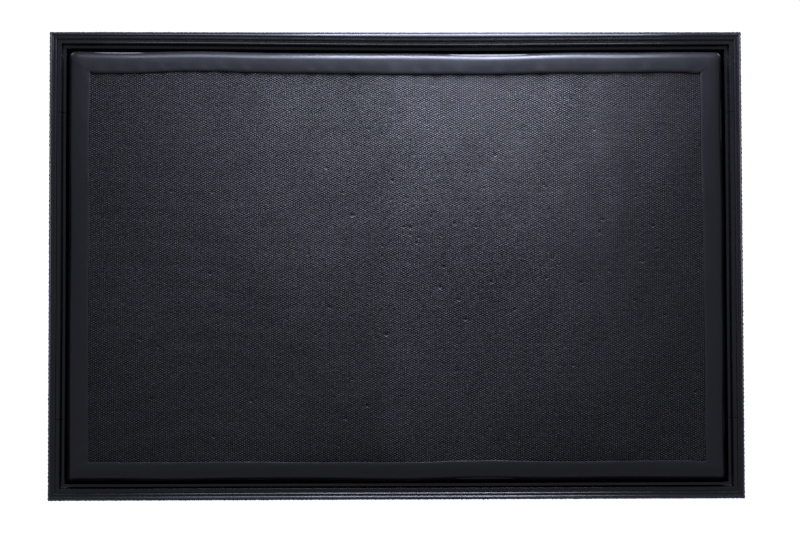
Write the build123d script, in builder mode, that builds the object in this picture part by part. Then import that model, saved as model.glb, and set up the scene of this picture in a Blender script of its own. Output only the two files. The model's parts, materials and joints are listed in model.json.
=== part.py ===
from build123d import *

import os

# A wall punch pad, in millimetres. X runs along its width, Z up and Y towards the wall, whose face is Y = 0.
# The strike face looks along -Y. The origin is the middle of the wall rail's row of holes, on the wall.
# Depths are counted from the wall towards the front. Insets are counted inwards from the frame's outer edge.

# Overall size
overall_width = 900.0
overall_height = 607.0
pad_centre_z = -190.0
skin_thickness = 2.0
frame_width = overall_width - 2 * skin_thickness
frame_height = overall_height - 2 * skin_thickness

# Depths of the layers
batten_back = 6.0
hanger_back = 9.0
board_back = 24.0
board_front = 36.0
core_front = 61.0
foam_front = 71.0
sheet_front = 73.5
cover_thickness = 1.6
cover_front = sheet_front + cover_thickness
skin_front = 69.0

# Cover: the band's block inside the frame, and the window that shows the strike sheet
cover_side_inset = 22.6
cover_end_inset = 22.6
cover_corner = 8.0
cover_roll = 7.0
cover_width = frame_width - 2 * cover_side_inset
cover_height = frame_height - 2 * cover_end_inset
window_width = 794.0
window_height = 504.0
window_shift = (0.0, -1.8)

# Frame moulding, as heights above the board
rail_base_inset = 19.2
staple_rebate_inset = 12.0
staple_rebate_height = 1.6
trim_seat_height = 20.0
rail_wall_inset = 8.4
bevel_foot_height = 33.2
crest_inset = 3.0
crest_height = 38.0
trim_clearance = 0.1
seam_from_end = 105.0
seam_gap = 0.3

# Timber behind the board
batten_width = 45.0
hanger_height = 60.0
stile_width = 60.0

# Hooked rails: both are the same thickness, and each hook fits the other's slot
rail_sheet = 2.8
hook_slot = 3.2
hook_clearance = 0.2
wall_rail_length = 680.0
pad_rail_length = 720.0
flange_half = 13.0
hook_top = 30.0
hook_engagement = 14.0
pad_flange_top = 56.0
rail_rounding = 0.4
wall_hole_radius = 2.75
wall_hole_xs = (-300.0, -100.0, 100.0, 300.0)
pad_rail_screw_z = 45.0
pad_rail_screw_xs = (-320.0, -160.0, 0.0, 160.0, 320.0)

# Fasteners
hole_clearance = 0.1
frame_screw_inset = 10.0
frame_screw_head = 4.5
frame_screw_shank = 2.4
frame_screw_length = 46.0
pilot_depth = batten_back + frame_screw_length - board_front + 1
batten_screw_head = 4.0
batten_screw_shank = 2.0
batten_screw_length = 24.0
pan_head = 3.6
pan_head_height = 2.2
pan_shank = 1.9
pad_rail_screw_length = 16.0
staple_crown = 10.0
staple_wire = 1.2
staple_leg = 9.0
staple_inset = 15.4
staple_pitch = 62.0

# Corner braces and wall feet, on the middle line of the perimeter battens
brace_thickness = 2.0
brace_strip = 16.0
brace_leg = 76.0
brace_screw_head = 3.4
brace_screw_shank = 1.7
brace_screw_length = 16.0
foot_radius = 14.0
foot_x = 300.0
foot_bore_radius = 4.4
foot_bore_depth = 3.4
foot_screw_length = 18.0

batten_line_x = frame_width / 2 - batten_width / 2
batten_line_z = frame_height / 2 - batten_width / 2
corners = {
    "top_left": (-1, 1),
    "top_right": (1, 1),
    "bottom_left": (-1, -1),
    "bottom_right": (1, -1),
}


def facing_front(depth):
    """The plane at a depth in front of the wall, centred on the pad, with its normal to the front."""
    return Plane(origin=(0, -depth, pad_centre_z), x_dir=(1, 0, 0), z_dir=(0, -1, 0))


def facing_wall(depth):
    """The same plane with its normal to the wall, so its local x runs the other way."""
    return Plane(origin=(0, -depth, pad_centre_z), x_dir=(-1, 0, 0), z_dir=(0, 1, 0))


def save(piece, name):
    """Labels a finished piece and writes its STEP file."""
    piece.part.label = name
    export_step(piece.part, f"parts/{name}.step")


def slab(depth, thickness, width, height, x=0.0, z=0.0):
    """A flat rectangular piece whose wall side is at a depth, placed about the pad's centre."""
    with BuildPart() as piece:
        with BuildSketch(facing_front(depth)):
            with Locations((x, z)):
                Rectangle(width, height)
        extrude(amount=thickness)
    return piece


# Screw places, about the pad's centre
frame_screw_places = [
    (x, side * (frame_height / 2 - frame_screw_inset))
    for x in (-340.0, -115.0, 115.0, 340.0)
    for side in (-1, 1)
]
frame_screw_places += [
    (side * (frame_width / 2 - frame_screw_inset), z)
    for z in (-170.0, 0.0, 170.0)
    for side in (-1, 1)
]
hanger_z = frame_height / 2 - batten_width - hanger_height / 2
batten_screw_places = [(x, hanger_z) for x in (-360.0, -120.0, 120.0, 360.0)]
batten_screw_places += [(0.0, z) for z in (100.0, -60.0, -220.0)]


def countersunk_screw(head, shank, length):
    """A wood screw along -Z with its flat head's face at the origin and a cross recess."""
    with BuildPart() as screw:
        with BuildSketch(Plane.XZ):
            with BuildLine():
                Polyline(
                    (0, 0),
                    (head, 0),
                    (shank, shank - head),
                    (shank, 2 * shank - length),
                    (0, -length),
                    close=True,
                )
            make_face()
        revolve(axis=Axis.Z)
        with BuildSketch():
            Rectangle(head, head / 4)
            Rectangle(head / 4, head)
        extrude(amount=-head / 3, mode=Mode.SUBTRACT)
    return screw.part


def pan_screw(length):
    """A pan-head screw along -Z with the head's underside at the origin and a cross recess."""
    with BuildPart() as screw:
        with BuildSketch(Plane.XZ):
            with BuildLine():
                Line((0, pan_head_height), (pan_head - 1, pan_head_height))
                RadiusArc((pan_head - 1, pan_head_height), (pan_head, 0), 3)
                Polyline(
                    (pan_head, 0),
                    (pan_shank, 0),
                    (pan_shank, 2 * pan_shank - length),
                    (0, -length),
                    (0, pan_head_height),
                )
            make_face()
        revolve(axis=Axis.Z)
        with BuildSketch(Plane.XY.offset(pan_head_height)):
            Rectangle(pan_head, pan_head / 4)
            Rectangle(pan_head / 4, pan_head)
        extrude(amount=-pan_head / 3, mode=Mode.SUBTRACT)
    return screw.part


def group(screw, plane, places):
    """One node of like screws, all driven into a plane."""
    with BuildPart() as screws:
        with Locations(plane):
            with Locations(*places):
                add(screw)
    return screws


def inwards(side):
    """The direction from a side of the frame towards the middle."""
    return {
        "top": Vector(0, 0, -1),
        "bottom": Vector(0, 0, 1),
        "left": Vector(1, 0, 0),
        "right": Vector(-1, 0, 0),
    }[side]


def moulding(side, section, low=None, high=None):
    """A length of moulding along one side of the frame, mitred into both corners.

    The section gives (inset, height above the board) points and arcs. low and high cut it square, as heights
    above the pad's centre, for a side's shorter pieces.
    """
    upright = side in ("left", "right")
    inward = inwards(side)
    reach = frame_width / 2 if upright else frame_height / 2
    middle = Vector(0, -board_front, pad_centre_z) - inward * reach
    along = inward.cross(Vector(0, -1, 0))
    half = (frame_height if upright else frame_width) / 2
    with BuildPart() as piece:
        with BuildSketch(Plane(origin=middle, x_dir=inward, z_dir=along)):
            with BuildLine():
                section()
            make_face()
        extrude(amount=half, both=True)
        for end in (-1, 1):
            mitre = Plane(origin=middle + along * (end * half), z_dir=along * end + inward)
            split(bisect_by=mitre, keep=Keep.BOTTOM)
        if low is not None:
            split(bisect_by=Plane.XY.offset(pad_centre_z + low), keep=Keep.TOP)
        if high is not None:
            split(bisect_by=Plane.XY.offset(pad_centre_z + high), keep=Keep.BOTTOM)
        if section is rail_section:
            with Locations(facing_wall(board_front)):
                with Locations(*frame_screw_places):
                    Hole(frame_screw_shank + hole_clearance, depth=pilot_depth)
    return piece


def rail_section():
    """The outer rail: rounded bevel, crest, inward slope and a fine bead, then a seat for the trim."""
    bead_start, bead_top, bead_end = (5.2, 37.0), (6.4, 37.75), (7.6, 36.9)
    Line((0, cover_thickness), (0, bevel_foot_height))
    ThreePointArc((0, bevel_foot_height), (0.8, 36.6), (crest_inset, crest_height))
    Line((crest_inset, crest_height), bead_start)
    ThreePointArc(bead_start, bead_top, bead_end)
    Polyline(
        bead_end,
        (8.2, 35.2),
        (rail_wall_inset, 34.6),
        (rail_wall_inset, trim_seat_height),
        (rail_base_inset, trim_seat_height),
        (rail_base_inset, cover_thickness + staple_rebate_height),
        (staple_rebate_inset, cover_thickness + staple_rebate_height),
        (staple_rebate_inset, cover_thickness),
        (0, cover_thickness),
    )


def trim_section():
    """The inner trim: groove side, flat with a fine bead, a cove down, and a ledge with a rounded nose."""
    outer = rail_wall_inset + trim_clearance
    bead_start, bead_top, bead_end = (11.6, 35.2), (12.6, 35.85), (13.5, 35.0)
    cove_end, ledge_end, nose = (16.1, 29.0), (18.4, 28.7), (rail_base_inset, 27.9)
    Polyline((outer, trim_seat_height), (outer, 34.4), (9.2, 35.4), bead_start)
    ThreePointArc(bead_start, bead_top, bead_end)
    ThreePointArc(bead_end, (14.2, 31.2), cove_end)
    Line(cove_end, ledge_end)
    ThreePointArc(ledge_end, (19.0, 28.5), nose)
    Polyline(nose, (rail_base_inset, trim_seat_height), (outer, trim_seat_height))


os.makedirs("parts", exist_ok=True)

# Wall rail: a flange on the wall, and a hook that stands off it and opens upwards
with BuildPart() as wall_rail:
    with BuildSketch(Plane.YZ):
        with BuildLine():
            Polyline(
                (0, -flange_half),
                (0, flange_half),
                (-hook_slot, flange_half),
                (-hook_slot, hook_top),
                (-hook_slot - rail_sheet, hook_top),
                (-hook_slot - rail_sheet, flange_half - rail_sheet),
                (-rail_sheet, flange_half - rail_sheet),
                (-rail_sheet, -flange_half),
                close=True,
            )
        section = make_face()
        fillet(section.vertices(), radius=rail_rounding)
    extrude(amount=wall_rail_length / 2, both=True)
    with Locations(Plane(origin=(0, 0, 0), x_dir=(-1, 0, 0), z_dir=(0, 1, 0))):
        with Locations(*[(x, 0) for x in wall_hole_xs]):
            Hole(wall_hole_radius)
save(wall_rail, "wall_rail")

# Pad rail: the same hook turned over, hung on the wall rail's
pad_hook_back = hook_clearance
pad_hook_front = pad_hook_back + rail_sheet
pad_flange_back = hook_slot + rail_sheet + hook_clearance
pad_rail_screws_at = [(x, pad_rail_screw_z - pad_centre_z) for x in pad_rail_screw_xs]
with BuildPart() as pad_rail:
    with BuildSketch(Plane.YZ):
        with BuildLine():
            Polyline(
                (-pad_hook_back, hook_top - hook_engagement),
                (-pad_hook_back, hook_top + rail_sheet),
                (-pad_flange_back, hook_top + rail_sheet),
                (-pad_flange_back, pad_flange_top),
                (-hanger_back, pad_flange_top),
                (-hanger_back, hook_top),
                (-pad_hook_front, hook_top),
                (-pad_hook_front, hook_top - hook_engagement),
                close=True,
            )
        section = make_face()
        fillet(section.vertices(), radius=rail_rounding)
    extrude(amount=pad_rail_length / 2, both=True)
    with Locations(facing_wall(pad_flange_back)):
        with Locations(*pad_rail_screws_at):
            Hole(pan_shank + hole_clearance, depth=hanger_back)
save(pad_rail, "pad_rail")

# Perimeter battens, the hanger batten behind the pad rail, and the centre stile
batten_depth = board_back - batten_back
side_batten_height = frame_height - 2 * batten_width
hanger_depth = board_back - hanger_back
stile_top = hanger_z - hanger_height / 2
stile_bottom = -side_batten_height / 2
batten_layout = {
    "batten_top": (frame_width, batten_width, 0, batten_line_z),
    "batten_bottom": (frame_width, batten_width, 0, -batten_line_z),
    "batten_left": (batten_width, side_batten_height, -batten_line_x, 0),
    "batten_right": (batten_width, side_batten_height, batten_line_x, 0),
}
brace_screw_places = {
    corner: [
        (sx * batten_line_x, sz * batten_line_z),
        (sx * (batten_line_x - 50), sz * batten_line_z),
        (sx * batten_line_x, sz * (batten_line_z - 40)),
        (sx * batten_line_x, sz * (batten_line_z - 66)),
    ]
    for corner, (sx, sz) in corners.items()
}
all_brace_places = [place for places in brace_screw_places.values() for place in places]
foot_places = [(sx * foot_x, sz * batten_line_z) for sx, sz in corners.values()]
for name, (width, height, x, z) in batten_layout.items():
    blank = slab(batten_back, batten_depth, width, height, x, z)
    with BuildPart() as batten:
        add(blank.part)
        with Locations(facing_wall(batten_back)):
            with Locations(*frame_screw_places):
                CounterSinkHole(
                    frame_screw_shank + hole_clearance,
                    frame_screw_head + hole_clearance,
                    depth=batten_depth,
                    counter_sink_angle=90,
                )
            with Locations(*all_brace_places):
                Hole(brace_screw_shank + hole_clearance, depth=brace_screw_length)
            with Locations(*foot_places):
                Hole(pan_shank + hole_clearance, depth=foot_screw_length)
    save(batten, name)

hanger_blank = slab(hanger_back, hanger_depth, frame_width - 2 * batten_width, hanger_height, 0, hanger_z)
with BuildPart() as hanger_batten:
    add(hanger_blank.part)
    with Locations(facing_wall(hanger_back)):
        with Locations(*pad_rail_screws_at):
            Hole(pan_shank + hole_clearance, depth=pad_rail_screw_length)
    with Locations(facing_front(board_back)):
        with Locations(*batten_screw_places):
            Hole(batten_screw_shank + hole_clearance, depth=batten_screw_length / 2 + 1)
save(hanger_batten, "hanger_batten")

stile_blank = slab(
    hanger_back,
    hanger_depth,
    stile_width,
    stile_top - stile_bottom,
    0,
    (stile_top + stile_bottom) / 2,
)
with BuildPart() as centre_stile:
    add(stile_blank.part)
    with Locations(facing_front(board_back)):
        with Locations(*batten_screw_places):
            Hole(batten_screw_shank + hole_clearance, depth=batten_screw_length / 2 + 1)
save(centre_stile, "centre_stile")

# Back board
with BuildPart() as back_board:
    with BuildSketch(facing_front(board_back)):
        Rectangle(frame_width, frame_height)
    extrude(amount=board_front - board_back)
    with Locations(facing_front(board_front)):
        with Locations(*frame_screw_places):
            Hole(frame_screw_shank + hole_clearance)
        with Locations(*batten_screw_places):
            CounterSinkHole(
                batten_screw_shank + hole_clearance,
                batten_screw_head + hole_clearance,
                counter_sink_angle=90,
            )
save(back_board, "back_board")

# The block of foam and strike sheet that fills the cover, rolled over along its front edges
with BuildPart() as filling:
    with BuildSketch(facing_front(board_front)):
        RectangleRounded(
            cover_width - 2 * cover_thickness,
            cover_height - 2 * cover_thickness,
            cover_corner - cover_thickness,
        )
    extrude(amount=sheet_front - board_front)
    fillet(filling.faces().sort_by(Axis.Y)[0].edges(), radius=cover_roll - cover_thickness)

with BuildPart() as core_foam:
    add(filling.part)
    split(bisect_by=facing_front(core_front), keep=Keep.BOTTOM)
save(core_foam, "core_foam")

with BuildPart() as top_foam:
    add(filling.part)
    split(bisect_by=facing_front(core_front), keep=Keep.TOP)
    split(bisect_by=facing_front(foam_front), keep=Keep.BOTTOM)
save(top_foam, "top_foam")

with BuildPart() as strike_sheet:
    add(filling.part)
    split(bisect_by=facing_front(foam_front), keep=Keep.TOP)
save(strike_sheet, "strike_sheet")

# Border band: a smooth cover with a window, turned down the foam's sides and out under the frame
with BuildPart() as border_band:
    with BuildSketch(facing_front(board_front)):
        RectangleRounded(cover_width, cover_height, cover_corner)
    extrude(amount=cover_front - board_front)
    fillet(border_band.faces().sort_by(Axis.Y)[0].edges(), radius=cover_roll)
    with BuildSketch(facing_front(board_front)):
        Rectangle(frame_width, frame_height)
    extrude(amount=cover_thickness)
    add(filling.part, mode=Mode.SUBTRACT)
    with BuildSketch(facing_front(foam_front)):
        with Locations(window_shift):
            Rectangle(window_width, window_height)
    extrude(amount=cover_front - foam_front, mode=Mode.SUBTRACT)
    with Locations(facing_front(cover_front)):
        with Locations(*frame_screw_places):
            Hole(frame_screw_shank + hole_clearance)
save(border_band, "border_band")

# Staples through the cover's turned-out hem, lying in the rebate under the rails
with BuildPart() as staple:
    with BuildSketch():
        Rectangle(staple_crown, staple_wire)
    extrude(amount=staple_wire)
    with BuildSketch():
        with Locations((-staple_crown / 2 + staple_wire / 2, 0), (staple_crown / 2 - staple_wire / 2, 0)):
            Rectangle(staple_wire, staple_wire)
    extrude(amount=-staple_leg)
staple_row_x = frame_width / 2 - staple_inset
staple_row_z = frame_height / 2 - staple_inset
with BuildPart() as cover_staples:
    with Locations(facing_front(board_front + cover_thickness)):
        with GridLocations(staple_pitch, 2 * staple_row_z, 13, 2):
            add(staple.part)
        with GridLocations(2 * staple_row_x, staple_pitch, 2, 8):
            add(staple.part, rotation=(0, 0, 90))
save(cover_staples, "cover_staples")

# Frame: four outer rails, and trim that is whole along the top and bottom and in three lengths up each side
seam_z = overall_height / 2 - seam_from_end
for side in ("top", "bottom", "left", "right"):
    save(moulding(side, rail_section), f"frame_rail_{side}")
for side in ("top", "bottom"):
    save(moulding(side, trim_section), f"trim_{side}")
for side in ("left", "right"):
    lengths = {
        "upper": (seam_z + seam_gap / 2, None),
        "middle": (-seam_z + seam_gap / 2, seam_z - seam_gap / 2),
        "lower": (None, -seam_z - seam_gap / 2),
    }
    for place, (low, high) in lengths.items():
        save(moulding(side, trim_section, low, high), f"trim_{side}_{place}")

# Pebbled skins on the four sides
skin_depth = skin_front - batten_back
for side, sign in (("left", -1), ("right", 1)):
    x = sign * (overall_width - skin_thickness) / 2
    save(slab(batten_back, skin_depth, skin_thickness, overall_height, x, 0), f"side_skin_{side}")
for side, sign in (("top", 1), ("bottom", -1)):
    z = sign * (overall_height - skin_thickness) / 2
    save(slab(batten_back, skin_depth, frame_width, skin_thickness, 0, z), f"side_skin_{side}")

# Corner braces across the battens' joints
brace_reach = brace_leg - brace_strip / 2
for corner, (sx, sz) in corners.items():
    with BuildPart() as brace:
        with BuildSketch(facing_front(batten_back - brace_thickness)) as outline:
            with Locations((sx * (batten_line_x - (brace_leg - brace_strip) / 2), sz * batten_line_z)):
                Rectangle(brace_leg, brace_strip)
            with Locations((sx * batten_line_x, sz * (batten_line_z - (brace_leg - brace_strip) / 2))):
                Rectangle(brace_strip, brace_leg)
            fillet(outline.vertices(), radius=2)
        extrude(amount=brace_thickness)
        with Locations(facing_wall(batten_back - brace_thickness)):
            with Locations(*[(-x, z) for x, z in brace_screw_places[corner]]):
                CounterSinkHole(
                    brace_screw_shank + hole_clearance,
                    brace_screw_head + hole_clearance,
                    counter_sink_angle=90,
                )
    save(brace, f"corner_brace_{corner}")

# Wall feet
for corner, (sx, sz) in corners.items():
    with BuildPart() as foot:
        with BuildSketch(facing_front(0)):
            with Locations((sx * foot_x, sz * batten_line_z)):
                Circle(foot_radius)
        extrude(amount=batten_back)
        chamfer(foot.faces().sort_by(Axis.Y)[-1].edges(), length=1)
        with Locations(facing_wall(0)):
            with Locations((-sx * foot_x, sz * batten_line_z)):
                CounterBoreHole(pan_shank + hole_clearance, foot_bore_radius, foot_bore_depth)
    save(foot, f"wall_foot_{corner}")

# Screws
frame_screw = countersunk_screw(frame_screw_head, frame_screw_shank, frame_screw_length)
save(group(frame_screw, facing_wall(batten_back), frame_screw_places), "frame_screws")
batten_screw = countersunk_screw(batten_screw_head, batten_screw_shank, batten_screw_length)
save(group(batten_screw, facing_front(board_front), batten_screw_places), "batten_screws")
brace_screw = countersunk_screw(brace_screw_head, brace_screw_shank, brace_screw_length)
save(group(brace_screw, facing_wall(batten_back - brace_thickness), all_brace_places), "brace_screws")
save(group(pan_screw(pad_rail_screw_length), facing_wall(pad_flange_back), pad_rail_screws_at), "pad_rail_screws")
save(group(pan_screw(foot_screw_length), facing_wall(foot_bore_depth), foot_places), "foot_screws")
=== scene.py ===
import json
import math

import bmesh
import bpy
import numpy as np
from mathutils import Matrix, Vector


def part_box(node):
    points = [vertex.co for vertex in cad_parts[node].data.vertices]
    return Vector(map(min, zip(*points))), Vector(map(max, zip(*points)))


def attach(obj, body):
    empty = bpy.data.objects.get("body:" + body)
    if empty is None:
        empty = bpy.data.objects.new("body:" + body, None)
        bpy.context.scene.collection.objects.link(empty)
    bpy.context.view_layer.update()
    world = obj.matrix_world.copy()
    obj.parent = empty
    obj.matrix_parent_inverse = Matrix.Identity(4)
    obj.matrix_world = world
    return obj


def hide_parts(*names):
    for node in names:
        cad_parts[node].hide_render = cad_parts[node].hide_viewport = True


# The looks of a wall punch pad, in metres, in the CAD model's frame: X along the pad, Z up, front at -Y.
# Places on the pad's face are given as x and v, where v is the height above the pad's centre.
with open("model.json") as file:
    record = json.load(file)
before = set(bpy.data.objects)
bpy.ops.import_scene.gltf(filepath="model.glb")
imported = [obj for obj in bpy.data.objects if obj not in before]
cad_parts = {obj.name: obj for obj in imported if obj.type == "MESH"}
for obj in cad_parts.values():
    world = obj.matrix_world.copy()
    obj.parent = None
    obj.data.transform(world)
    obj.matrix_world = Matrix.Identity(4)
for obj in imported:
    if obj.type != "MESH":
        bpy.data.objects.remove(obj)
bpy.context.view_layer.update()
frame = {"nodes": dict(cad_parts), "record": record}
nodes = frame["nodes"]
rng = np.random.default_rng(7)
MM = 0.001

# Sizes that the CAD model gives
side_skin_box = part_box("side_skin_left")
rail_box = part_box("frame_rail_top")
board_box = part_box("back_board")
foam_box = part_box("core_foam")
top_foam_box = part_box("top_foam")
sheet_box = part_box("strike_sheet")
band_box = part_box("border_band")
OVERALL_W = 2 * -side_skin_box[0].x
OVERALL_H = side_skin_box[1].z - side_skin_box[0].z
CENTRE_Z = (side_skin_box[0].z + side_skin_box[1].z) / 2
TOP = side_skin_box[1].z
SKIN = side_skin_box[1].x - side_skin_box[0].x
SKIN_BACK = -side_skin_box[1].y
SKIN_FRONT = -side_skin_box[0].y
FRAME_W = rail_box[1].x - rail_box[0].x
FRAME_H = OVERALL_H - 2 * SKIN
BOARD_FRONT = -board_box[0].y
CORE_FRONT = -foam_box[0].y
FOAM_FRONT = -top_foam_box[0].y
SHEET_FRONT = -sheet_box[0].y
COVER_FRONT = -band_box[0].y
COVER = COVER_FRONT - SHEET_FRONT
FOAM_W = foam_box[1].x - foam_box[0].x
FOAM_H = foam_box[1].z - foam_box[0].z

# Sizes of the cover, its window and the trim's seams
COVER_W = FOAM_W + 2 * COVER
COVER_H = FOAM_H + 2 * COVER
COVER_CORNER = 8 * MM
COVER_ROLL = 12.5 * MM
WINDOW_W = 794 * MM
WINDOW_H = 504 * MM
WINDOW_V = -1.8 * MM
SEAM_V = OVERALL_H / 2 - 105 * MM
SEAM_GAP = 0.3 * MM

# Grain of the pebbled sheet: pebbles this far apart along and across, with as many again halfway between
GRAIN_ALONG = 5.54 * MM
GRAIN_ACROSS = 2.96 * MM
SHEET_GRAIN = 0.62 * MM
SKIN_GRAIN = 1.1 * MM
DOME_UP = 0.60
DOME_SIDE = 0.25
ROUNDING = 0.15
LIP_RISE = 0.3
MARGIN_SHORT = 7 * MM


# ---------------------------------------------------------------- meshes
def link(name, mesh, material):
    """Puts a mesh in the scene as an object with one material."""
    piece = bpy.data.objects.new(name, mesh)
    bpy.context.scene.collection.objects.link(piece)
    mesh.materials.append(material)
    return piece


def mesh_of(name, points, faces, smooth=True):
    """A mesh from points and faces, shaded smooth or flat."""
    mesh = bpy.data.meshes.new(name)
    mesh.from_pydata(np.asarray(points, float).tolist(), [], [list(map(int, face)) for face in faces])
    mesh.polygons.foreach_set("use_smooth", [smooth] * len(mesh.polygons))
    mesh.update()
    return mesh


def finish_piece(piece, body, slot, *replaced):
    """Has a piece ride its body and hides the CAD nodes that it replaces; slot is not used."""
    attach(piece, body)
    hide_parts(*replaced)


def ring_faces(stations, ring, closed=False):
    """Quads between the stations of a sweep, whose section is a closed ring of points."""
    faces = []
    for i in range(stations if closed else stations - 1):
        here, there = i * ring, (i + 1) % stations * ring
        for j in range(ring):
            after = (j + 1) % ring
            faces.append((here + j, there + j, there + after, here + after))
    return faces


def weigh_normals(piece):
    """Keeps the flats of a moulding flat beside its small roundings."""
    piece.modifiers.new("flat_flats", "WEIGHTED_NORMAL").keep_sharp = True


def arc(start, via, end, steps=6):
    """Points on the circle through three points, from the start up to but not including the end."""
    (ax, ay), (bx, by), (cx, cy) = start, via, end
    d = 2 * (ax * (by - cy) + bx * (cy - ay) + cx * (ay - by))
    a2, b2, c2 = ax * ax + ay * ay, bx * bx + by * by, cx * cx + cy * cy
    ox = (a2 * (by - cy) + b2 * (cy - ay) + c2 * (ay - by)) / d
    oy = (a2 * (cx - bx) + b2 * (ax - cx) + c2 * (bx - ax)) / d
    angles = [math.atan2(y - oy, x - ox) for x, y in (start, via, end)]
    for k in (1, 2):
        angles[k] = angles[k - 1] + math.remainder(angles[k] - angles[k - 1], 2 * math.pi)
    radius = math.hypot(ax - ox, ay - oy)
    turns = [angles[0] + (angles[2] - angles[0]) * step / steps for step in range(steps)]
    return [(ox + radius * math.cos(t), oy + radius * math.sin(t)) for t in turns]


def ease_corners(points, radius=0.3, sharp=math.radians(24)):
    """Rounds the sharp corners of a closed section, as an extruded moulding's are."""
    eased = []
    count = len(points)
    for k in range(count):
        before, here, after = (Vector(points[(k + s) % count]) for s in (-1, 0, 1))
        into, out = here - before, after - here
        if into.angle(out) < sharp:
            eased.append(tuple(here))
            continue
        cut_in = min(radius, into.length * 0.45)
        cut_out = min(radius, out.length * 0.45)
        start, end = here - into.normalized() * cut_in, here + out.normalized() * cut_out
        eased += [tuple(start), tuple((start + end) / 4 + here / 2), tuple(end)]
    return eased


def waves(seed, length, count=7):
    """A smooth random field of about unit height over the pad's face, from waves near one length."""
    dice = np.random.default_rng(seed)
    heading = dice.uniform(0, 2 * math.pi, count)
    pitch = 2 * math.pi / (length * dice.uniform(0.7, 1.4, count))
    phase = dice.uniform(0, 2 * math.pi, count)

    def field(x, v):
        x, v = np.asarray(x, float), np.asarray(v, float)
        total = 0
        for a, k, p in zip(heading, pitch, phase):
            total = total + np.sin(k * (x * math.cos(a) + v * math.sin(a)) + p)
        return total / math.sqrt(count / 2)

    return field


def smooth_step(value, low, high):
    """0 below low, 1 above high, and a smooth rise between them."""
    t = np.clip((np.asarray(value, float) - low) / (high - low), 0, 1)
    return t * t * (3 - 2 * t)


# ---------------------------------------------------------------- how the pad has settled
slow_wave = waves(1, 0.50)
short_wave = waves(2, 0.16)
BOW = 2.7 * MM
BOW_X = 0.06
BOW_REACH = 0.10
RIGHT_BOW = 0.45
RIM_BOW = 0.27
RIM = 2.5 * MM


def settle(x, y, v):
    """Where a point of the frame or cover comes to rest: the top has bowed down, nothing is quite straight.

    The top rail has rolled forward: its rim has bowed by only a share, RIM_BOW, of what the rest has.
    """
    across = np.clip((x + FRAME_W / 2) / FRAME_W, 0, 1)
    middle = (BOW_X + FRAME_W / 2) / FRAME_W
    rise = smooth_step(across, 0, middle)
    fall = 1 - (1 - RIGHT_BOW) * smooth_step(across, middle, 1)
    near_top = smooth_step(v, FRAME_H / 2 - BOW_REACH, FRAME_H / 2 - 0.01)
    twist = RIM_BOW + (1 - RIM_BOW) * smooth_step(FRAME_H / 2 - v, 0, RIM)
    inside = smooth_step(FRAME_H / 2 - np.abs(v), -0.001, 0.004)
    inside = inside * smooth_step(FRAME_W / 2 - np.abs(x), -0.001, 0.004)
    drop = BOW * rise * fall * near_top * twist
    new_x = x + 0.25 * MM * slow_wave(x, v) * inside
    new_v = v - drop + 0.2 * MM * slow_wave(v, x) * inside
    new_y = y + (0.25 * MM * slow_wave(x + 1, v) + 0.07 * MM * short_wave(x, v)) * inside
    return np.stack([new_x, new_y, new_v + CENTRE_Z], axis=-1)


PILLOW = 3.4 * MM
SIM_STEP = 11 * MM
SIM_FRAMES = 30
FOLD_X = -11 * MM
FOLD_SWAY = 6 * MM
FOLD_SLOPE = 0.015
FOLD_SOFT = 9 * MM
FOLD_REACH = 0.09
RIPPLE_X = 0.262
RIPPLE_V = 0.12
RIPPLE_SLANT = 0.17
RIPPLE_DEPTH = 1.4 * MM
RIPPLE_WIDTH = 0.017
ROW_HEIGHT = 0.10 * MM
ROW_PITCH = 0.034
# How much the fold and the ripple change the pebbles' painted sheen and shade.
PAINTED_LIGHT_STEP = 0.10


def simulate_cover():
    """Lets the cover's cloth swell over its foam, pinned round its rim.

    Returns its lift on an even grid, scaled so that the highest place is PILLOW.
    """
    columns = int(COVER_W / SIM_STEP) + 1
    rows = int(COVER_H / SIM_STEP) + 1
    xs = np.linspace(-COVER_W / 2, COVER_W / 2, columns)
    vs = np.linspace(-COVER_H / 2, COVER_H / 2, rows)
    across, up = np.meshgrid(xs, vs)
    rim = (np.abs(across) > COVER_W / 2 - 1e-6) | (np.abs(up) > COVER_H / 2 - 1e-6)
    tug = waves(5, 0.09)
    pulled_x = across + 0.5 * MM * tug(across, up) * rim
    pulled_v = up + 0.5 * MM * tug(up, across) * rim
    points = np.stack([pulled_x.ravel(), np.zeros(across.size), pulled_v.ravel()], axis=-1)
    faces = [
        (r * columns + c, r * columns + c + 1, (r + 1) * columns + c + 1, (r + 1) * columns + c)
        for r in range(rows - 1)
        for c in range(columns - 1)
    ]
    mesh = mesh_of("cover_cloth", points, faces)
    cloth_piece = bpy.data.objects.new("cover_cloth", mesh)
    bpy.context.scene.collection.objects.link(cloth_piece)
    pins = cloth_piece.vertex_groups.new(name="rim")
    pins.add([int(k) for k in np.flatnonzero(rim.ravel())], 1.0, "REPLACE")
    cloth = cloth_piece.modifiers.new("settle", "CLOTH")
    cloth.settings.quality = 6
    cloth.settings.mass = 0.5
    cloth.settings.tension_stiffness = 40
    cloth.settings.compression_stiffness = 40
    cloth.settings.bending_stiffness = 4
    cloth.settings.vertex_group_mass = "rim"
    cloth.settings.use_pressure = True
    cloth.settings.uniform_pressure_force = 0.35
    cloth.settings.effector_weights.gravity = 0.15
    cloth.point_cache.frame_start = 1
    cloth.point_cache.frame_end = SIM_FRAMES
    scene = bpy.context.scene
    for step in range(1, SIM_FRAMES + 1):
        scene.frame_set(step)
    graph = bpy.context.evaluated_depsgraph_get()
    settled = cloth_piece.evaluated_get(graph).to_mesh()
    found = np.empty(len(settled.vertices) * 3)
    settled.vertices.foreach_get("co", found)
    swell = np.abs(found.reshape(-1, 3)[:, 1]).reshape(rows, columns)
    bpy.data.objects.remove(cloth_piece)
    scene.frame_set(1)
    return swell * PILLOW / swell.max()


cover_grid = simulate_cover()
long_wave = waves(3, 0.30)
small_wave = waves(4, 0.07)


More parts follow.
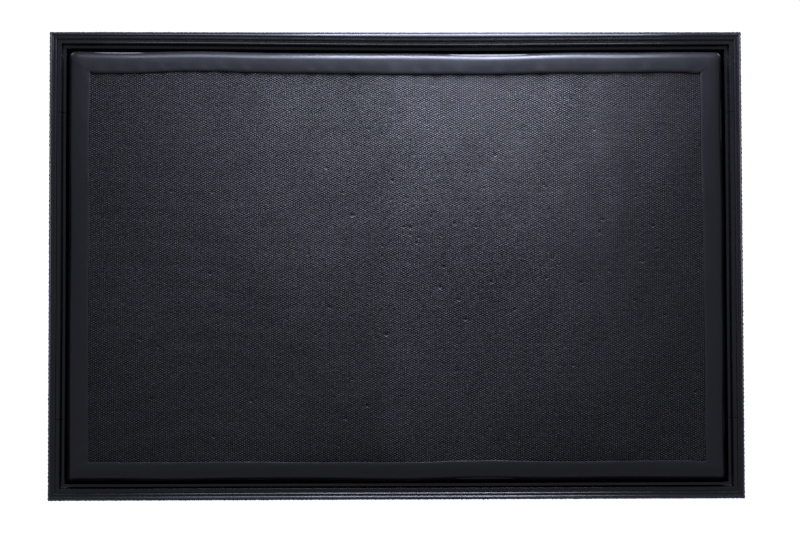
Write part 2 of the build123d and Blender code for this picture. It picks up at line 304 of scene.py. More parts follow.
def spline_weights(t):
    """The shares of four neighbours in a cubic B-spline, a fraction t past the second of them."""
    return (
        (1 - t) ** 3 / 6,
        (3 * t**3 - 6 * t**2 + 4) / 6,
        (-3 * t**3 + 3 * t**2 + 3 * t + 1) / 6,
        t**3 / 6,
    )


def cover_swell(x, v):
    """The simulated cloth's lift at any place, read smoothly from its grid."""
    rows, columns = cover_grid.shape
    c = np.clip((x / COVER_W + 0.5) * (columns - 1), 0, columns - 1)
    r = np.clip((v / COVER_H + 0.5) * (rows - 1), 0, rows - 1)
    c0, r0 = np.floor(c).astype(int), np.floor(r).astype(int)
    total = 0
    for dr, wr in enumerate(spline_weights(r - r0)):
        for dc, wc in enumerate(spline_weights(c - c0)):
            row = np.clip(r0 + dr - 1, 0, rows - 1)
            column = np.clip(c0 + dc - 1, 0, columns - 1)
            total = total + wr * wc * cover_grid[row, column]
    return total


def off_fold(x, v):
    """How far a place is to the right of the upright fold."""
    return x - FOLD_X - FOLD_SWAY * np.sin(v * 9)


def off_ripple(x, v):
    """How far a place is to the right of the slanting ripple at the upper right."""
    return (x - RIPPLE_X) + RIPPLE_SLANT * (v - RIPPLE_V)


def painted_sheen_and_shade(x, v):
    """How the pebbles' tops are painted by the light: lighter right of the fold, as painted sheen, and
    lighter left of the ripple and darker right of it, as painted sheen and shade.
    """
    fold = off_fold(x, v)
    ripple = off_ripple(x, v)
    # Painted sheen right of the fold; painted shade right of the ripple.
    by_fold = np.tanh(fold / (7 * MM)) * np.exp(-((fold / FOLD_REACH) ** 2))
    by_ripple = np.tanh(ripple / (9 * MM)) * np.exp(-((ripple / 0.08) ** 2))
    by_ripple = by_ripple * smooth_step(v, -0.12, 0.05)
    return 1 + PAINTED_LIGHT_STEP * by_fold - PAINTED_LIGHT_STEP * by_ripple


def lift(x, v):
    """How far the soft face stands in front of its flat place: swell, fold, ripple, rows and waves."""
    x, v = np.asarray(x, float), np.asarray(v, float)
    edge = smooth_step(COVER_W / 2 - np.abs(x), 0, 0.05)
    edge = edge * smooth_step(COVER_H / 2 - np.abs(v), 0, 0.05)
    from_fold = off_fold(x, v)
    fold = -FOLD_SLOPE * np.sqrt(from_fold**2 + FOLD_SOFT**2) * np.exp(-((from_fold / FOLD_REACH) ** 2))
    trough = -RIPPLE_DEPTH * np.exp(-((off_ripple(x, v) / RIPPLE_WIDTH) ** 2))
    trough = trough * smooth_step(v, -0.05, 0.1)
    rows = ROW_HEIGHT * np.sin(2 * math.pi * v / ROW_PITCH + 1.5 * long_wave(x, v))
    rows = rows * smooth_step(-x, -0.1, 0.35)
    ripples = 0.55 * MM * long_wave(x, v) + 0.11 * MM * small_wave(x, v)
    return cover_swell(x, v) + (fold + trough + rows + ripples) * edge


# ---------------------------------------------------------------- frame
def rail_section():
    """The outer rail: rounded bevel, crest, a flat that falls away inside, then a seat for the trim."""
    points = [(0, 1.6), (0, 20)]
    points += arc((0, 33.4), (0.7, 36.7), (2.2, 38.0), 8)
    points += [(2.2, 38.0), (2.5, 37.9), (3.9, 36.5), (6.7, 37.0), (8.2, 35.5), (8.4, 34.8)]
    points += [(8.4, 20), (19.2, 20), (19.2, 3.2), (12, 3.2), (12, 1.6)]
    return ease_corners(points)


def trim_section():
    """The inner trim: groove side, flat with a fine bead, a cove down, and a ledge with a rounded nose."""
    points = [(8.5, 20), (8.5, 34.9), (8.7, 35.3), (11.5, 35.2)]
    points += arc((11.6, 35.2), (13.0, 35.3), (13.7, 34.6), 5)
    points += arc((13.7, 34.6), (14.3, 31.2), (15.8, 29.0), 6)
    points += [(15.8, 29.0), (17.2, 28.85)]
    points += arc((18.4, 28.7), (19.0, 28.5), (19.2, 27.9), 4)
    points += [(19.2, 27.9), (19.2, 20)]
    return ease_corners(points, 0.2)


def on_side(side, along, inset, depth):
    """A point of a side's moulding as x, y and v: along the side, in from the frame's edge, off the wall."""
    if side in ("top", "bottom"):
        sign = 1 if side == "top" else -1
        return along, -depth, sign * (FRAME_H / 2 - inset)
    sign = 1 if side == "right" else -1
    return sign * (FRAME_W / 2 - inset), -depth, along


def make_moulding(name, side, section, low=None, high=None):
    """A length of moulding, mitred into the corners or cut square at low or high, settled with the pad."""
    half = (FRAME_W if side in ("top", "bottom") else FRAME_H) / 2
    profile = np.array(section) * MM
    inset, depth = profile[:, 0], BOARD_FRONT + profile[:, 1]
    start = -(half - inset) if low is None else np.full(len(inset), low)
    end = half - inset if high is None else np.full(len(inset), high)
    stations = max(2, int((end - start).max() / (6 * MM)))
    points = []
    for step in range(stations):
        along = start + (end - start) * step / (stations - 1)
        x, y, v = on_side(side, along, inset, depth)
        x, y, v = (np.broadcast_to(value, along.shape) for value in (x, y, v))
        points.append(settle(x, y, v))
    ring = len(profile)
    faces = ring_faces(stations, ring)
    faces += [tuple(range(ring))[::-1], tuple(range((stations - 1) * ring, stations * ring))]
    if side in ("bottom", "right"):
        faces = [face[::-1] for face in faces]
    mesh = mesh_of(name, np.concatenate(points), faces)
    piece = link(name + "_moulding", mesh, MATERIALS["frame_black"])
    recalculate(piece)
    weigh_normals(piece)
    finish_piece(piece, "pad", "frame_black", name)


def recalculate(piece):
    """Turns all of a closed piece's faces outwards, and marks its end faces' edges sharp."""
    work = bmesh.new()
    work.from_mesh(piece.data)
    bmesh.ops.recalc_face_normals(work, faces=work.faces)
    for edge in work.edges:
        if len(edge.link_faces) == 2 and edge.calc_face_angle(0) > math.radians(40):
            edge.smooth = False
    work.to_mesh(piece.data)
    work.free()


def make_frame():
    """Four rails, and the trim in them: whole at the top and bottom, in three lengths on each side."""
    for side in ("top", "bottom", "left", "right"):
        make_moulding(f"frame_rail_{side}", side, rail_section())
    for side in ("top", "bottom"):
        make_moulding(f"trim_{side}", side, trim_section())
    for side in ("left", "right"):
        lengths = {
            "upper": (SEAM_V + SEAM_GAP, None),
            "middle": (-SEAM_V + SEAM_GAP, SEAM_V - SEAM_GAP),
            "lower": (None, -SEAM_V - SEAM_GAP),
        }
        for place, (low, high) in lengths.items():
            make_moulding(f"trim_{side}_{place}", side, trim_section(), low, high)


# ---------------------------------------------------------------- pebbled sheet
def pebble_faces(index):
    """Triangles of a pebbled grid of points, each starting with its top.

    Tops are where column and row add up even, and each has four triangles to the low points beside it.
    """
    a, b, c, d = index[:-1, :-1], index[1:, :-1], index[1:, 1:], index[:-1, 1:]
    even = np.add.outer(np.arange(a.shape[0]), np.arange(a.shape[1])) % 2 == 0
    first = np.where(even[..., None], np.stack([a, b, d], -1), np.stack([b, c, a], -1))
    second = np.where(even[..., None], np.stack([c, d, b], -1), np.stack([d, a, c], -1))
    return np.stack([first, second], 2).reshape(-1, 3)


def round_pebbles(mesh, faces, shape, slope_x, slope_v, extra):
    """Shades each pebble as a dome: its normals lean outwards from its top to the valleys round it."""
    column, row = np.divmod(faces, shape[1])
    lean_x = DOME_SIDE * (column - column[:, :1])
    lean_v = DOME_UP * (row - row[:, :1])
    facet_x = lean_x.sum(axis=1, keepdims=True)
    facet_v = lean_v.sum(axis=1, keepdims=True)
    lean_x = ROUNDING * lean_x + (1 - ROUNDING) * 0.5 * facet_x
    lean_v = ROUNDING * lean_v + (1 - ROUNDING) * facet_v
    wobble = 0.03 * rng.standard_normal((2, *slope_x.shape))
    lean_x = lean_x + wobble[0][faces[:, :1]] - slope_x[faces]
    lean_v = lean_v + wobble[1][faces[:, :1]] - slope_v[faces]
    normals = np.stack([lean_x, np.full(lean_x.shape, -1.0), lean_v], -1).reshape(-1, 3)
    normals = np.concatenate([normals, np.tile((0.0, -1.0, 0.0), (extra, 1))])
    normals /= np.linalg.norm(normals, axis=1)[:, None]
    mesh.normals_split_custom_set(normals.tolist())


def paint_pebble_light(mesh, lightness):
    """Keeps each point's painted light on the grain, from 0 in a valley, painted shade, to 1 on a top,
    painted highlight, for the material to read.
    """
    values = np.zeros(len(mesh.vertices))
    values[: lightness.size] = lightness.ravel()
    mesh.attributes.new("pebble_painted_light", "FLOAT", "POINT").data.foreach_set("value", values)


def scatter_pits():
    """Small knocks in the sheet, closer together in the middle and the upper right."""
    x = np.concatenate([rng.uniform(-0.4, 0.4, 70), rng.normal(0.10, 0.13, 90)])
    v = np.concatenate([rng.uniform(-0.24, 0.25, 70), rng.normal(0.06, 0.10, 90)])
    return x, v, rng.uniform(1.1, 2.1, x.size) * MM, rng.uniform(0.2, 0.8, x.size) * MM


def make_strike_sheet():
    """The pebbled sheet, with its grain in the mesh inside the window and a plain margin under the band."""
    under = 2.2 * MM
    columns = 2 * int((WINDOW_W / 2 + under) / (GRAIN_ALONG / 2)) + 1
    rows = 2 * int((WINDOW_H / 2 + under) / (GRAIN_ACROSS / 2)) + 1
    x = (np.arange(columns) - (columns - 1) / 2) * GRAIN_ALONG / 2
    v = WINDOW_V + (np.arange(rows) - (rows - 1) / 2) * GRAIN_ACROSS / 2
    x, v = np.meshgrid(x, v, indexing="ij")
    top = (np.add.outer(np.arange(columns), np.arange(rows)) % 2) == 0
    x = x + 0.03 * MM * rng.standard_normal(x.shape)
    v = v + 0.03 * MM * rng.standard_normal(x.shape)
    height = np.where(top, SHEET_GRAIN / 2, -SHEET_GRAIN / 2)
    height = height + 0.04 * SHEET_GRAIN * rng.standard_normal(x.shape)
    dent, lip = np.zeros(x.shape), np.zeros(x.shape)
    for pit_x, pit_v, radius, depth in zip(*scatter_pits()):
        off_x, off_v = (x - pit_x) / radius, (v - pit_v) / radius
        dent = np.maximum(dent, depth * np.exp(-(off_x**2) - off_v**2))
        below = (off_v + 1.1 + 0.5 * off_x) / 0.55
        lip = np.maximum(lip, depth * np.exp(-((off_x / 0.9) ** 2) - below**2))
    y = -(SHEET_FRONT - SHEET_GRAIN / 2 + height - dent + LIP_RISE * lip + lift(x, v))
    points = settle(x, y, v).reshape(-1, 3)
    index = np.arange(columns * rows).reshape(columns, rows)
    pebbles = pebble_faces(index)
    faces = pebbles.tolist()
    bent = lift(x, v) - dent + LIP_RISE * lip
    bend_x, bend_v = np.gradient(bent, GRAIN_ALONG / 2, GRAIN_ACROSS / 2)
    # The margin: four strips from the pebbled area's edge out to the sheet's own edge
    rim = np.concatenate([index[:-1, 0], index[-1, :-1], index[:0:-1, -1], index[0, :0:-1]])
    on_side_edge = np.isin(rim, np.concatenate([index[0], index[-1]]))
    rim_x, rim_v = x.ravel()[rim], v.ravel()[rim]
    edge_x = np.where(on_side_edge, np.sign(rim_x) * (FOAM_W / 2 - MARGIN_SHORT), rim_x)
    on_end_edge = np.isin(rim, np.concatenate([index[:, 0], index[:, -1]]))
    edge_v = np.where(on_end_edge, np.sign(rim_v) * (FOAM_H / 2 - MARGIN_SHORT), rim_v)
    edge_y = -(SHEET_FRONT - SHEET_GRAIN + lift(edge_x, edge_v))
    margin = settle(edge_x, edge_y, edge_v)
    first = len(points)
    count = len(rim)
    for k in range(count):
        after = (k + 1) % count
        faces.append((rim[k], first + k, first + after, rim[after]))
    mesh = mesh_of("strike_sheet", np.concatenate([points, margin]), faces)
    round_pebbles(mesh, pebbles, (columns, rows), bend_x.ravel(), bend_v.ravel(), 4 * count)
    # Pebble tops are painted light as highlights and valleys stay dark as painted shade; each top's
    # lightness also differs at random.
    pebble_light = top * rng.uniform(0.75, 0.95, top.shape) * painted_sheen_and_shade(x, v)
    # Pits are painted darker as shade and their lower lips lighter as highlight.
    pebble_light = pebble_light * (1 - np.clip(dent / MM, 0, 1)) + np.clip(lip / MM, 0, 1)
    paint_pebble_light(mesh, pebble_light)
    sheet = link("strike_sheet_pebbled", mesh, MATERIALS["strike_vinyl"])
    finish_piece(sheet, "pad", "strike_vinyl", "strike_sheet")


# ---------------------------------------------------------------- border band
LOOP_STEP = 4 * MM
CORNER_STEPS = 8
FACE_DROP = 0.7 * MM
WINDOW_LIP = 3.2 * MM
HEM_SHORT = 0.3 * MM
HEM_CLEAR = 0.05 * MM
HEM_CORNER = 4 * MM


def loop(left, right, low, high, corner):
    """Points round a rounded rectangle, always as many, so that loops inside each other join up."""
    long_steps = int(COVER_W / LOOP_STEP)
    short_steps = int(COVER_H / LOOP_STEP)
    centres = [(right - corner, high - corner), (left + corner, high - corner)]
    centres += [(left + corner, low + corner), (right - corner, low + corner)]
    points = []
    for quarter, (cx, cv) in enumerate(centres):
        turn = math.pi / 2 * quarter
        for step in range(CORNER_STEPS + 1):
            angle = turn + math.pi / 2 * step / CORNER_STEPS
            points.append((cx + corner * math.cos(angle), cv + corner * math.sin(angle)))
        next_cx, next_cv = centres[(quarter + 1) % 4]
        start = points[-1]
        end_angle = turn + math.pi / 2
        end = (next_cx + corner * math.cos(end_angle), next_cv + corner * math.sin(end_angle))
        steps = long_steps if quarter % 2 == 0 else short_steps
        for step in range(1, steps):
            t = step / steps
            points.append([a + (b - a) * t for a, b in zip(start, end)])
    return np.array(points)


def cover_loop(inset, corner):
    """The cover's outline, moved inwards by a distance."""
    half_w, half_h = COVER_W / 2 - inset, COVER_H / 2 - inset
    return loop(-half_w, half_w, -half_h, half_h, corner)


def window_loop(out):
    """The window's edge, moved outwards by a distance."""
    half_w, half_h = WINDOW_W / 2 + out, WINDOW_H / 2 + out
    corner = 1.2 * MM + out / 2
    return loop(-half_w, half_w, WINDOW_V - half_h, WINDOW_V + half_h, corner)


edge_wave = waves(11, 0.36)
fine_edge_wave = waves(12, 0.035)
roll_wave = waves(13, 0.20)
DIMPLE_X = -3 * MM


def edge_drift(x, v):
    """Where the window's edge has drifted: up at the top left, down in the middle, slanting at the right."""
    top = 1.3 * MM * np.exp(-(((x + 0.24) / 0.08) ** 2))
    top = top - 1.0 * MM * np.exp(-(((x - 0.01) / 0.07) ** 2))
    return top * smooth_step(v, 0.22, 0.24) - 0.006 * v * smooth_step(x, 0.38, 0.39)


def make_border_band():
    """The smooth cover: window edge, flat band, roll into the gap, side wall and hidden hem."""
    rings = []

    def add(points, depth, free, loose):
        """free: how much of the face's lift it has. loose: how much of the window edge's waviness."""
        rings.append((points, depth, free, loose))

    band_out = cover_loop(COVER_ROLL, COVER_CORNER * 0.6)
    # The front face, from the window's edge outwards
    add(window_loop(0.0), SHEET_FRONT + 0.35 * COVER, 1, 1)
    for out, drop in ((0.0, 0.9), (0.3, 0.65), (1.0, 0.35), (2.0, 0.12), (3.2, 0.0)):
        add(window_loop(out * MM), COVER_FRONT - drop * MM, 1, 1)
    edge_in = window_loop(WINDOW_LIP)
    flats = 7
    for k in range(1, flats + 1):
        t = k / flats
        add(edge_in * (1 - t) + band_out * t, COVER_FRONT - FACE_DROP * t**3, 1, (1 - t) ** 2)
    for angle in np.radians(np.linspace(12, 90, 9)):
        out = COVER_ROLL * (1 - math.sin(angle))
        drop = COVER_ROLL * (1 - math.cos(angle)) + FACE_DROP
        corner = COVER_CORNER * (0.6 + 0.4 * math.sin(angle))
        add(cover_loop(out, corner), COVER_FRONT - drop, 1, 0)
    wall_foot = BOARD_FRONT + COVER
    add(cover_loop(0, COVER_CORNER), wall_foot + 14 * MM, 0.5, 0)
    add(cover_loop(0, COVER_CORNER), wall_foot + 2 * MM, 0, 0)
    add(cover_loop(-0.6 * MM, COVER_CORNER), wall_foot + 0.6 * MM, 0, 0)
    add(cover_loop(-2 * MM, COVER_CORNER), wall_foot, 0, 0)
    hem = (FRAME_W - COVER_W) / 2
    add(cover_loop(-hem + HEM_SHORT, HEM_CORNER), wall_foot, 0, 0)
    # The back, from the hem inwards, one thickness behind
    add(cover_loop(-hem + HEM_SHORT, HEM_CORNER), BOARD_FRONT + HEM_CLEAR, 0, 0)
    add(cover_loop(COVER, COVER_CORNER - COVER), BOARD_FRONT + HEM_CLEAR, 0, 0)
    inner_roll = COVER_ROLL - COVER
    for angle in np.radians(np.linspace(90, 0, 6)):
        out = COVER + inner_roll * (1 - math.sin(angle))
        drop = inner_roll * (1 - math.cos(angle)) + FACE_DROP
        corner = COVER_CORNER * (0.5 + 0.3 * math.sin(angle))
        add(cover_loop(out, corner), COVER_FRONT - COVER - drop, 1, 0)
    add(window_loop(3 * MM), SHEET_FRONT - 0.02 * MM, 1, 0.5)
    points = []
    for ring, depth, free, loose in rings:
        x, v = ring[:, 0].copy(), ring[:, 1].copy()
        at_side = np.abs(x) / WINDOW_W > np.abs(v) / WINDOW_H
        away_x = np.sign(x) * at_side
        away_v = np.sign(v) * ~at_side
        rough = 0.3 * MM * edge_wave(x, v) + 0.12 * MM * fine_edge_wave(x, v) + edge_drift(x, v)
        x += loose * rough * away_x
        v += loose * rough * away_v
        puff = free * roll_wave(x, v) * 0.5 * MM
        x += puff * away_x
        v += puff * away_v
        curl = 0.35 * MM * np.maximum(0, fine_edge_wave(v, x)) * loose
        off_x, off_v = (x - DIMPLE_X) / 0.012, (v - COVER_H / 2 + 0.012) / 0.009
        dimple = 0.6 * MM * np.exp(-(off_x**2) - off_v**2)
        y = -(depth + free * lift(x, v) + curl - dimple * free)
        points.append(settle(x, y, v))
    ring_size = len(rings[0][0])
    faces = ring_faces(len(rings), ring_size, closed=True)
    mesh = mesh_of("border_band", np.concatenate(points), faces)
    piece = link("border_band_cover", mesh, MATERIALS["band_vinyl"])
    recalculate(piece)
    finish_piece(piece, "pad", "band_vinyl", "border_band")


# ---------------------------------------------------------------- foam
def make_foam(name, back, front, roll, share):
    """A block of foam with eased edges. Its front has the given share of the face's lift."""
    rings = []
    ease = 0.2 * MM

    def foam_loop(inset):
        half_w, half_h = FOAM_W / 2 - inset, FOAM_H / 2 - inset
        return loop(-half_w, half_w, -half_h, half_h, max(1 * MM, 6.4 * MM - inset))

    for inset in (200 * MM, 100 * MM, 50 * MM, 20 * MM):
        rings.append((foam_loop(inset), back, 0))
    rings.append((foam_loop(ease), back, 0))
    rings.append((foam_loop(ease), (back + front) / 2, 0))
    for angle in np.radians((90, 65, 40, 15)):
        inset = ease + roll * (1 - math.sin(angle))
        rings.append((foam_loop(inset), front - roll * (1 - math.cos(angle)), share))
    for inset in np.arange(10 * MM, FOAM_H / 2 - 6 * MM, 10 * MM):
        rings.append((foam_loop(inset), front, share))
    points = []
    for ring, depth, free in rings:
        x, v = ring[:, 0], ring[:, 1]
        points.append(settle(x, -(depth + free * lift(x, v)), v))
    ring_size = len(rings[0][0])
    faces = ring_faces(len(rings), ring_size)
    faces += [tuple(range(ring_size)), tuple(range((len(rings) - 1) * ring_size, len(rings) * ring_size))]
    piece = link(name + "_block", mesh_of(name, np.concatenate(points), faces), MATERIALS[name])
    recalculate(piece)
    finish_piece(piece, "pad", name, name)


# ---------------------------------------------------------------- side skins
def make_skin(side):
    """A strip of the pebbled sheet on the pad's side, its grain along it and rolled over its front edge."""
    upright = side in ("left", "right")
    length = OVERALL_H if upright else FRAME_W
    outer = OVERALL_W / 2 if upright else OVERALL_H / 2
    sign = 1 if side in ("right", "top") else -1
    columns = 2 * int(length / GRAIN_ALONG) + 1
    along = np.linspace(-length / 2, length / 2, columns)
    rows = 2 * int((SKIN_FRONT - SKIN_BACK - 1 * MM) / GRAIN_ACROSS)
    depth = np.linspace(SKIN_BACK, SKIN_FRONT - 0.7 * MM, rows)
    # Section ring: the pebbled outer face, the front edge, and the plain inner face
    out = np.full(rows, outer - SKIN_GRAIN * 0.3)
    ring_depth = np.concatenate([depth, [SKIN_FRONT, SKIN_FRONT, SKIN_BACK]])
    inner = outer - SKIN + 0.05 * MM
    ring_out = np.concatenate([out, [outer - 0.9 * MM, inner, inner]])
    ring = len(ring_depth)
    top = (np.add.outer(np.arange(columns), np.arange(ring)) % 2) == 0
    relief = np.where(top, 0.5, -0.5) * SKIN_GRAIN
    relief = relief + 0.12 * SKIN_GRAIN * rng.standard_normal(relief.shape)
    relief[:, rows:] *= 0.15
    relief[:, 0] *= 0.3
    relief[:, -1] = 0
    out_at = ring_out[None, :] + relief
    depth_at = np.broadcast_to(ring_depth[None, :], out_at.shape)
    along_at = np.broadcast_to(along[:, None], out_at.shape)
    x, v = (sign * out_at, along_at) if upright else (along_at, sign * out_at)
    points = settle(x, -depth_at, v).reshape(-1, 3)
    index = np.arange(columns * ring).reshape(columns, ring)
    closed = np.concatenate([index, index[:, :1]], axis=1)
    faces = pebble_faces(closed).tolist() + [tuple(index[0]), tuple(index[-1])]
    mesh = mesh_of(f"side_skin_{side}", points, faces, smooth=False)
    # The skin's pebble tops keep their colour and its valleys are painted darker as shade.
    paint_pebble_light(mesh, relief > 0)
    piece = link(f"side_skin_{side}_pebbled", mesh, MATERIALS["skin_vinyl"])
    recalculate(piece)
    finish_piece(piece, "pad", "skin_vinyl", f"side_skin_{side}")


# ---------------------------------------------------------------- materials
def shader(name, colour, roughness, **sockets):
    """A material with one Principled shader, its constants set on the shader itself."""
    material = bpy.data.materials.new(name)
    material.use_nodes = True
    bsdf = material.node_tree.nodes["Principled BSDF"]
    bsdf.inputs["Base Color"].default_value = (*colour, 1)
    bsdf.inputs["Roughness"].default_value = roughness
    for socket, value in sockets.items():
        bsdf.inputs[socket.replace("_", " ")].default_value = value
    return material, bsdf


def noise_node(material, scale, detail=4, rough=0.55, stretch=(1, 1, 1)):
    """A noise pattern in the object's own space, stretched along an axis for grain or brushing."""
    tree = material.node_tree
    coordinates = tree.nodes.new("ShaderNodeTexCoord")
    mapping = tree.nodes.new("ShaderNodeMapping")
    mapping.inputs["Scale"].default_value = stretch
    pattern = tree.nodes.new("ShaderNodeTexNoise")
    pattern.inputs["Scale"].default_value = scale
    pattern.inputs["Detail"].default_value = detail
    pattern.inputs["Roughness"].default_value = rough
    tree.links.new(coordinates.outputs["Object"], mapping.inputs["Vector"])
    tree.links.new(mapping.outputs["Vector"], pattern.inputs["Vector"])
    return pattern.outputs["Fac"]


def ramp(material, source, low, high, low_at=0.3, high_at=0.7):
    """Maps a pattern onto a range of colours, or of greys for a value."""
    tree = material.node_tree
    node = tree.nodes.new("ShaderNodeValToRGB")
    node.color_ramp.elements[0].position = low_at
    node.color_ramp.elements[1].position = high_at
    node.color_ramp.elements[0].color = (*low, 1)
    node.color_ramp.elements[1].color = (*high, 1)
    tree.links.new(source, node.inputs["Fac"])
    return node.outputs["Color"]


def grey(value):
    """A colour of three equal parts."""
    return (value, value, value)


def bump(material, bsdf, source, strength, distance):
    """Leads a pattern into the shader's normal as fine relief."""
    tree = material.node_tree
    node = tree.nodes.new("ShaderNodeBump")
    node.inputs["Strength"].default_value = strength
    node.inputs["Distance"].default_value = distance
    tree.links.new(source, node.inputs["Height"])
    tree.links.new(node.outputs["Normal"], bsdf.inputs["Normal"])


def black_surface(
    name, dark, light, smooth, rough, patch=9, grain=900, grain_depth=0.05, valleys=None, shine=0.5
):
    """Black vinyl, rubber or lacquer: cloudy colour and gloss with a fine surface grain.

    valleys is how dark a pebbled sheet's valleys are painted, as shade, beside its tops, which are painted
    light as highlights.
    """
    material, bsdf = shader(name, dark, rough, Specular_IOR_Level=shine)
    links = material.node_tree.links
    clouds = noise_node(material, patch, 5, 0.6)
    colour = ramp(material, clouds, dark, light)
    if valleys is not None:
        # Reads the pebbles' painted light: tops light as highlights, valleys dark as painted shade.
        height = material.node_tree.nodes.new("ShaderNodeAttribute")
        height.attribute_name = "pebble_painted_light"
        shade = material.node_tree.nodes.new("ShaderNodeMix")
        shade.data_type = "RGBA"
        shade.blend_type = "MULTIPLY"
        shade.inputs["Factor"].default_value = 1.0
        links.new(colour, shade.inputs["A"])
        pebble_light = ramp(material, height.outputs["Fac"], grey(valleys), grey(1), 0.42, 0.92)
        links.new(pebble_light, shade.inputs["B"])
        colour = shade.outputs["Result"]
    links.new(colour, bsdf.inputs["Base Color"])
    smudges = noise_node(material, patch * 3, 6, 0.62)
    links.new(ramp(material, smudges, grey(smooth), grey(rough)), bsdf.inputs["Roughness"])
    bump(material, bsdf, noise_node(material, grain, 3, 0.6), 0.5, grain_depth * MM)
    return material


def timber(name, pale, dark, stretch):
    """Sawn wood: long grain along one axis over slow colour changes, with fine pores."""
    material, bsdf = shader(name, pale, 0.62)
    links = material.node_tree.links
    rings = noise_node(material, 60, 6, 0.6, stretch)
    links.new(ramp(material, rings, dark, pale, 0.35, 0.65), bsdf.inputs["Base Color"])
    pores = noise_node(material, 420, 3, 0.6, stretch)
    links.new(ramp(material, pores, grey(0.5), grey(0.75)), bsdf.inputs["Roughness"])
    bump(material, bsdf, pores, 0.4, 0.15 * MM)
    return material


def metal(name, colour, smooth, rough, stretch=(1, 1, 1), scale=300):
    """Bare metal with brushing or zinc flower in its colour and gloss."""
    material, bsdf = shader(name, colour, smooth, Metallic=1.0)
    links = material.node_tree.links
    brushing = noise_node(material, scale, 5, 0.6, stretch)
    links.new(ramp(material, brushing, grey(smooth), grey(rough)), bsdf.inputs["Roughness"])
    links.new(ramp(material, brushing, [c * 0.85 for c in colour], colour), bsdf.inputs["Base Color"])
    bump(material, bsdf, brushing, 0.15, 0.05 * MM)
    return material


def foam(name, colour):
    """Closed-cell foam: matt, with its cells in colour and relief."""
    material, bsdf = shader(name, colour, 0.9)
    cells = noise_node(material, 700, 2, 0.5)
    shade = ramp(material, cells, [c * 0.7 for c in colour], colour)
    material.node_tree.links.new(shade, bsdf.inputs["Base Color"])
    bump(material, bsdf, cells, 0.6, 0.4 * MM)
    return material


def floor_paint():
    """Pale paint that also glows a little, because the lights are set for the pad alone."""
    glow = {"Emission_Color": (1, 1, 1, 1), "Emission_Strength": 0.5}
    material, bsdf = shader("floor_paint", grey(0.86), 0.6, **glow)
    speckle = noise_node(material, 3, 4, 0.5)
    material.node_tree.links.new(ramp(material, speckle, grey(0.84), grey(0.88)), bsdf.inputs["Base Color"])
    return material


along_x, along_z = (0.06, 1, 1), (1, 1, 0.06)
pine, deal = (0.70, 0.54, 0.34), (0.58, 0.41, 0.23)
MATERIALS = {
    "frame_black": black_surface(
        "frame_black", (0.007, 0.007, 0.009), (0.012, 0.012, 0.014), 0.20, 0.32, 14
    ),
    "band_vinyl": black_surface("band_vinyl", (0.018, 0.019, 0.022), (0.025, 0.026, 0.030), 0.28, 0.38, 11),
    # The pebbled sheet's pale colour is painted highlight on its tops; its valleys are painted near black as
    # shade.
    "strike_vinyl": black_surface(
        "strike_vinyl", (0.180, 0.184, 0.204), (0.240, 0.244, 0.270), 0.42, 0.52, 7, valleys=0.01, shine=0.3
    ),
    # The side skins' pebble valleys are painted darker as shade.
    "skin_vinyl": black_surface(
        "skin_vinyl", (0.022, 0.022, 0.025), (0.032, 0.032, 0.035), 0.40, 0.55, patch=11, valleys=0.2
    ),
    "core_foam": foam("core_foam", (0.10, 0.10, 0.11)),
    "top_foam": foam("top_foam", (0.20, 0.20, 0.21)),
    "plywood": timber("plywood", (0.60, 0.45, 0.29), (0.50, 0.35, 0.21), along_x),
    "softwood": timber("softwood", pine, deal, along_x),
    "softwood_upright": timber("softwood_upright", pine, deal, along_z),
    "rail_aluminium": metal("rail_aluminium", (0.78, 0.79, 0.80), 0.28, 0.42, (0.02, 1, 1)),
    "brace_steel": metal("brace_steel", (0.62, 0.63, 0.65), 0.30, 0.55, scale=120),
    "screw_steel": metal("screw_steel", (0.55, 0.55, 0.57), 0.25, 0.45),
    "staple_steel": metal("staple_steel", (0.66, 0.66, 0.68), 0.25, 0.40),
    "foot_rubber": black_surface("foot_rubber", grey(0.018), grey(0.03), 0.6, 0.8, 60, 1400, 0.1),
}
UPRIGHT_TIMBER = ("batten_left", "batten_right", "centre_stile")


def dress_cad_nodes():
    """Gives every CAD node the material of its slot in the record."""
    for part in frame["record"]["subparts"]:
        name = part["node"]
        wanted = "softwood_upright" if name in UPRIGHT_TIMBER else part["material_slot"]
        materials = nodes[name].data.materials
        materials.clear()
        materials.append(MATERIALS[wanted])


# ---------------------------------------------------------------- camera, stage and lights
# The camera, solved from the outline of the pad in the photo
LENS = 69.62
CAMERA_PLACE = (-0.0202, -2.072, -0.2646)
CAMERA_TURN = (math.pi / 2 + 0.03086, 0.0025, -0.0121)
# The surround's strength for diffuse rays, for gloss, and as the camera sees it
SURROUND_DIFFUSE = 0.05
SURROUND_GLOSS = 0.36
SURROUND_SEEN = 1.3
COOL = (0.76, 0.80, 1.0)
FLOOR_DROP = 0.75
FLOOR_REACH = 4.0


def make_camera():
    """The camera at the photo's viewing angle."""
    data = bpy.data.cameras.new("camera")
    data.sensor_width = 36
    data.lens = LENS
    data.clip_end = 50
    camera = bpy.data.objects.new("camera", data)
    camera.location = CAMERA_PLACE
    camera.rotation_euler = CAMERA_TURN
    bpy.context.scene.collection.objects.link(camera)
    bpy.context.scene.camera = camera


def area_light(name, place, target, width, height, power, colour=(1, 1, 1)):
    """A rectangular soft box that faces its target."""
    data = bpy.data.lights.new(name, "AREA")
    data.shape = "RECTANGLE"
    data.size, data.size_y = width, height
    data.energy = power
    data.color = colour
    light = bpy.data.objects.new(name, data)
    light.location = place
    light.rotation_euler = (Vector(target) - Vector(place)).to_track_quat("-Z", "Y").to_euler()
    bpy.context.scene.collection.objects.link(light)


def make_floor():
    """A pale floor, well below the hung pad."""
    floor_z = CENTRE_Z - OVERALL_H / 2 - FLOOR_DROP
    corners = [(FLOOR_REACH * a, FLOOR_REACH * b, floor_z) for a, b in ((-1, -1), (1, -1), (1, 1), (-1, 1))]
    floor = link("floor", mesh_of("floor", corners, [(0, 1, 2, 3)]), floor_paint())
    floor.visible_glossy = False
    floor.visible_diffuse = False


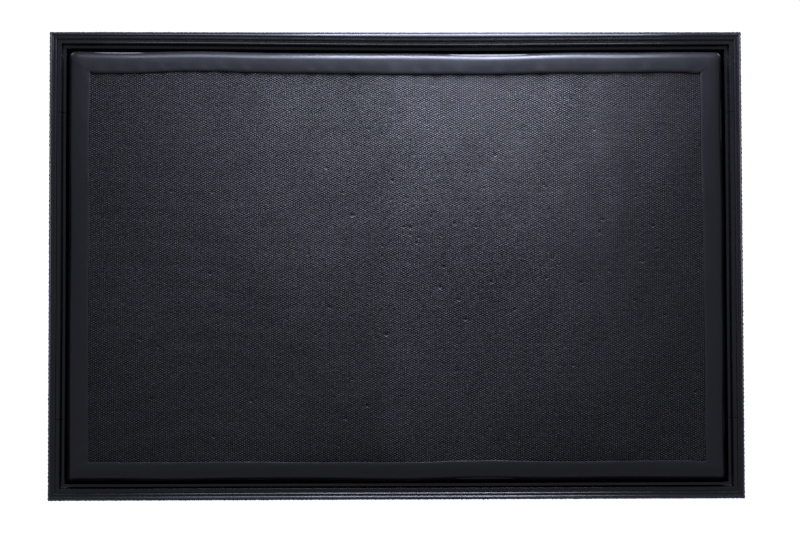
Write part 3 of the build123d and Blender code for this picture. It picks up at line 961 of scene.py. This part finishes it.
def make_surround():
    """A surround that the camera sees white, and that lights and shines on the pad only dimly."""
    world = bpy.data.worlds.new("surround")
    bpy.context.scene.world = world
    world.use_nodes = True
    tree = world.node_tree
    background = tree.nodes["Background"]
    background.inputs["Color"].default_value = (0.82, 0.83, 1.0, 1)
    path = tree.nodes.new("ShaderNodeLightPath")
    soft = tree.nodes.new("ShaderNodeMix")
    soft.inputs["A"].default_value = SURROUND_DIFFUSE
    soft.inputs["B"].default_value = SURROUND_GLOSS
    seen = tree.nodes.new("ShaderNodeMix")
    seen.inputs["B"].default_value = SURROUND_SEEN
    tree.links.new(path.outputs["Is Glossy Ray"], soft.inputs["Factor"])
    tree.links.new(path.outputs["Is Camera Ray"], seen.inputs["Factor"])
    tree.links.new(soft.outputs["Result"], seen.inputs["A"])
    tree.links.new(seen.outputs["Result"], background.inputs["Strength"])


def make_lights():
    """Three soft boxes close above the front, brightest right of the middle, and fills behind."""
    middle = (0, -0.07, CENTRE_Z)
    upper = CENTRE_Z + 0.20
    area_light("key", (0.06, -0.18, TOP + 0.35), (0.04, -0.07, upper), 0.40, 0.15, 5.1, COOL)
    area_light("key_right", (0.23, -0.22, TOP + 0.24), (0.23, -0.07, upper), 0.30, 0.2, 2.1, COOL)
    area_light("key_left", (-0.18, -0.30, TOP + 0.30), (-0.18, -0.07, upper), 0.50, 0.2, 2.0, COOL)
    area_light("fill_left", (-2.4, 0.4, CENTRE_Z + 0.5), middle, 0.6, 1.4, 12)
    area_light("fill_right", (2.4, 0.4, CENTRE_Z + 0.5), middle, 0.6, 1.4, 12)
    area_light("fill_back", (0.6, 1.8, CENTRE_Z + 1.0), middle, 1.6, 1.0, 22)


make_camera()
make_frame()
make_strike_sheet()
make_border_band()
make_foam("core_foam", BOARD_FRONT, CORE_FRONT, 0.5 * MM, 0)
make_foam("top_foam", CORE_FRONT, FOAM_FRONT, 5 * MM, 1)
for side in ("left", "right", "top", "bottom"):
    make_skin(side)
dress_cad_nodes()
make_floor()
make_surround()
make_lights()
bpy.context.scene.view_settings.view_transform = "Standard"
